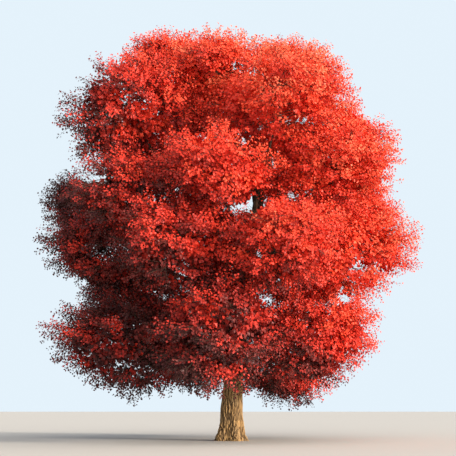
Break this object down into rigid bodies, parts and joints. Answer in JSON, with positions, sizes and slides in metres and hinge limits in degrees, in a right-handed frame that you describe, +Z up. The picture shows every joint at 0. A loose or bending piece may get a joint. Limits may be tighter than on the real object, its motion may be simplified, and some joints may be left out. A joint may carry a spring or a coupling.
{
  "type": "maple tree in red autumn leaf",
  "caption": "Large open-grown broadleaf tree in red autumn leaf: flared trunk that forks low, spreading boughs and a dense rounded crown.",
  "frame": {"origin": "centre of the flat cut under the trunk, at ground level", "axes": "+Z up along the trunk, -Y towards the front, +X to the right as seen from the front"},
  "size_m": [17.4159, 16.9189, 18.734],
  "materials": {
    "bark": "rough furrowed bark",
    "foliage": "matte red autumn leaves"
  },
  "bodies": {
    "root": {"trunk": "bark", "bough_tier5_1": "bark", "bough_tier5_2": "bark", "bough_tier5_3": "bark", "bough_tier5_4": "bark", "bough_tier5_5": "bark", "bough_tier4_1": "bark", "bough_tier4_2": "bark", "bough_tier4_3": "bark", "bough_tier4_4": "bark", "bough_tier4_5": "bark", "bough_tier3_1": "bark", "bough_tier3_2": "bark", "bough_tier3_3": "bark", "bough_tier3_4": "bark", "bough_tier3_5": "bark", "bough_tier3_6": "bark", "bough_tier3_7": "bark", "bough_tier2_1": "bark", "bough_tier2_2": "bark", "bough_tier2_3": "bark", "bough_tier2_4": "bark", "bough_tier2_5": "bark", "bough_tier2_6": "bark", "bough_tier2_7": "bark", "bough_tier1_1": "bark", "bough_tier1_2": "bark", "bough_tier1_3": "bark", "bough_tier1_4": "bark", "bough_tier1_5": "bark", "foliage_tier5_1": "foliage", "foliage_tier5_2": "foliage", "foliage_tier5_3": "foliage", "foliage_tier5_4": "foliage", "foliage_tier5_5": "foliage", "foliage_tier4_1": "foliage", "foliage_tier4_2": "foliage", "foliage_tier4_3": "foliage", "foliage_tier4_4": "foliage", "foliage_tier4_5": "foliage", "foliage_tier3_1": "foliage", "foliage_tier3_2": "foliage", "foliage_tier3_3": "foliage", "foliage_tier3_4": "foliage", "foliage_tier3_5": "foliage", "foliage_tier3_6": "foliage", "foliage_tier3_7": "foliage", "foliage_tier2_1": "foliage", "foliage_tier2_2": "foliage", "foliage_tier2_3": "foliage", "foliage_tier2_4": "foliage", "foliage_tier2_5": "foliage", "foliage_tier2_6": "foliage", "foliage_tier2_7": "foliage", "foliage_tier1_1": "foliage", "foliage_tier1_2": "foliage", "foliage_tier1_3": "foliage", "foliage_tier1_4": "foliage", "foliage_tier1_5": "foliage"}
  },
  "joints": []
}
